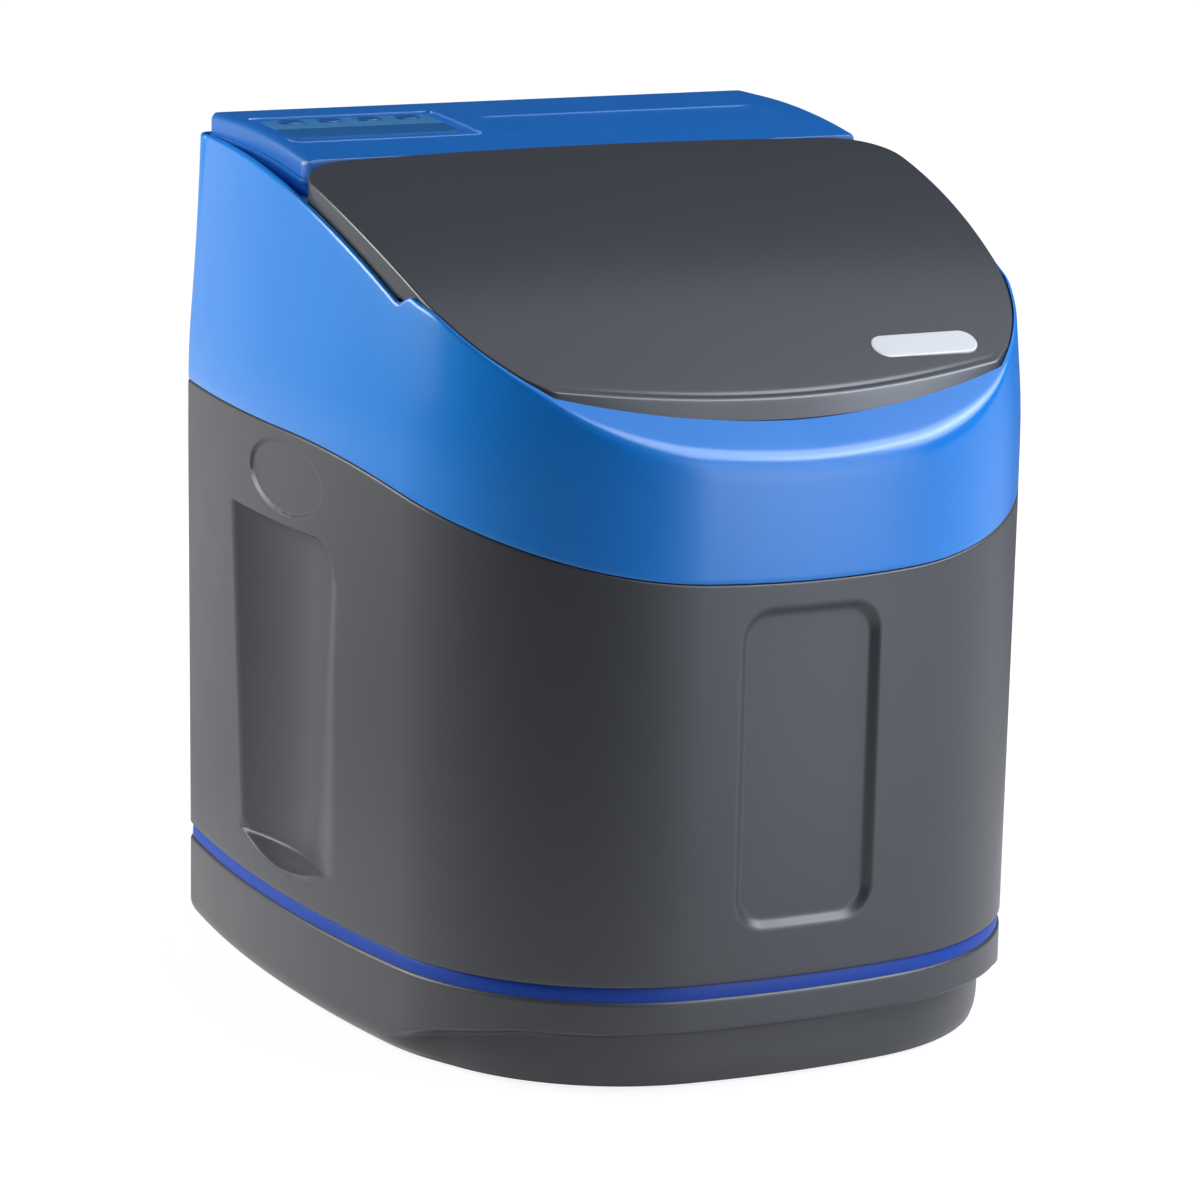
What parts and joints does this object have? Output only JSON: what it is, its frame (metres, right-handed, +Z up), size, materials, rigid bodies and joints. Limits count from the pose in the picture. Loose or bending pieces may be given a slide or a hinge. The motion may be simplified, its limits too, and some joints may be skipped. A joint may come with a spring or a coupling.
{
  "type": "cabinet water softener",
  "caption": "Cabinet water softener: grey salt tub with hand grips, blue hood, hinged salt lid, head cover with display and buttons, resin vessel and control valve inside.",
  "frame": {"origin": "on the floor, under the middle of the cabinet's box", "axes": "+Z up, -Y the front with the salt lid's lip, +X the right side seen from the front"},
  "size_m": [0.4138, 0.444, 0.5],
  "materials": {
    "tub_plastic": "fine satin moulded",
    "stripe_plastic": "smooth",
    "hood_plastic": "satin moulded",
    "lid_plastic": "satin moulded",
    "badge_plastic": "smooth",
    "bezel_plastic": "smooth film",
    "display_glass": "clear window over a dark screen",
    "button_plastic": "smooth",
    "board": "coated",
    "rubber": "matt",
    "steel": "brushed",
    "motor_metal": "painted",
    "vessel_plastic": "wound glass-fibre, gel coated",
    "white_plastic": "moulded",
    "black_plastic": "moulded",
    "resin": "fine beads",
    "brass": "machined"
  },
  "bodies": {
    "cabinet": {"base_tray": "tub_plastic", "rubber_feet": "rubber", "stripe_band": "stripe_plastic", "cabinet_tub": "tub_plastic", "hood": "hood_plastic", "hood_screws": "steel", "hinge_pins": "steel", "power_socket": "black_plastic", "overflow_fitting": "white_plastic", "resin_vessel": "vessel_plastic", "neck_seal": "rubber", "riser_tube": "white_plastic", "upper_basket": "white_plastic", "lower_basket": "white_plastic", "resin_bed": "resin", "valve_body": "black_plastic", "seal_stack": "rubber", "valve_end_cap": "black_plastic", "motor_bracket": "steel", "drive_motor": "motor_metal", "injector": "white_plastic", "injector_cap": "black_plastic", "brine_elbow": "white_plastic", "brine_line": "white_plastic", "drain_spigot": "white_plastic", "inlet_connector": "white_plastic", "outlet_connector": "white_plastic", "meter_cover": "black_plastic", "brine_well": "white_plastic", "well_cap": "black_plastic", "air_check": "white_plastic", "salt_grid": "white_plastic"},
    "cover": {"head_cover": "hood_plastic", "display_bezel": "bezel_plastic", "display_window": "display_glass", "circuit_board": "board"},
    "lid": {"lid": "lid_plastic", "badge": "badge_plastic"},
    "button_menu": {"button_menu": "button_plastic"},
    "button_down": {"button_down": "button_plastic"},
    "button_up": {"button_up": "button_plastic"},
    "button_enter": {"button_enter": "button_plastic"},
    "piston": {"piston": "brass", "piston_rod": "steel"},
    "drive_screw": {"drive_screw": "steel"},
    "turbine": {"meter_turbine": "button_plastic"},
    "knob": {"blend_knob": "button_plastic"},
    "float": {"float_rod": "steel", "float": "white_plastic"}
  },
  "joints": [
    {"name": "lid_hinge", "type": "hinge", "parent": "cabinet", "child": "lid", "pos_m": [0, 0.056, 0.482], "axis": [-1, 0, 0], "range_deg": [0, 80]},
    {"name": "cover_lift", "type": "slide", "parent": "cabinet", "child": "cover", "axis": [0, 0, 1], "range_m": [0, 0.12]},
    {"name": "drive_turn", "type": "hinge", "parent": "cabinet", "child": "drive_screw", "pos_m": [0, 0.112, 0.382], "axis": [1, 0, 0], "range_deg": [0, 1080]},
    {"name": "piston_slide", "type": "slide", "parent": "cabinet", "child": "piston", "axis": [1, 0, 0], "range_m": [0, 0.024]},
    {"name": "turbine_spin", "type": "hinge", "parent": "cabinet", "child": "turbine", "pos_m": [-0.038, 0.112, 0.41], "axis": [0, 0, 1], "continuous": true},
    {"name": "blend_turn", "type": "hinge", "parent": "cabinet", "child": "knob", "pos_m": [0.038, 0.08, 0.388], "axis": [0, 1, 0], "range_deg": [0, 270]},
    {"name": "float_slide", "type": "slide", "parent": "cabinet", "child": "float", "axis": [0, 0, 1], "range_m": [0, 0.03]},
    {"name": "press_menu", "type": "slide", "parent": "cover", "child": "button_menu", "axis": [0, 0.0589, -0.9983], "range_m": [0, 0.001], "stiffness_N_per_m": 300},
    {"name": "press_down", "type": "slide", "parent": "cover", "child": "button_down", "axis": [0, 0.0589, -0.9983], "range_m": [0, 0.001], "stiffness_N_per_m": 300},
    {"name": "press_up", "type": "slide", "parent": "cover", "child": "button_up", "axis": [0, 0.0589, -0.9983], "range_m": [0, 0.001], "stiffness_N_per_m": 300},
    {"name": "press_enter", "type": "slide", "parent": "cover", "child": "button_enter", "axis": [0, 0.0589, -0.9983], "range_m": [0, 0.001], "stiffness_N_per_m": 300}
  ],
  "couplings": [
    {"joint": "drive_turn", "follows": "piston_slide", "rad_per_m": 785.4}
  ]
}
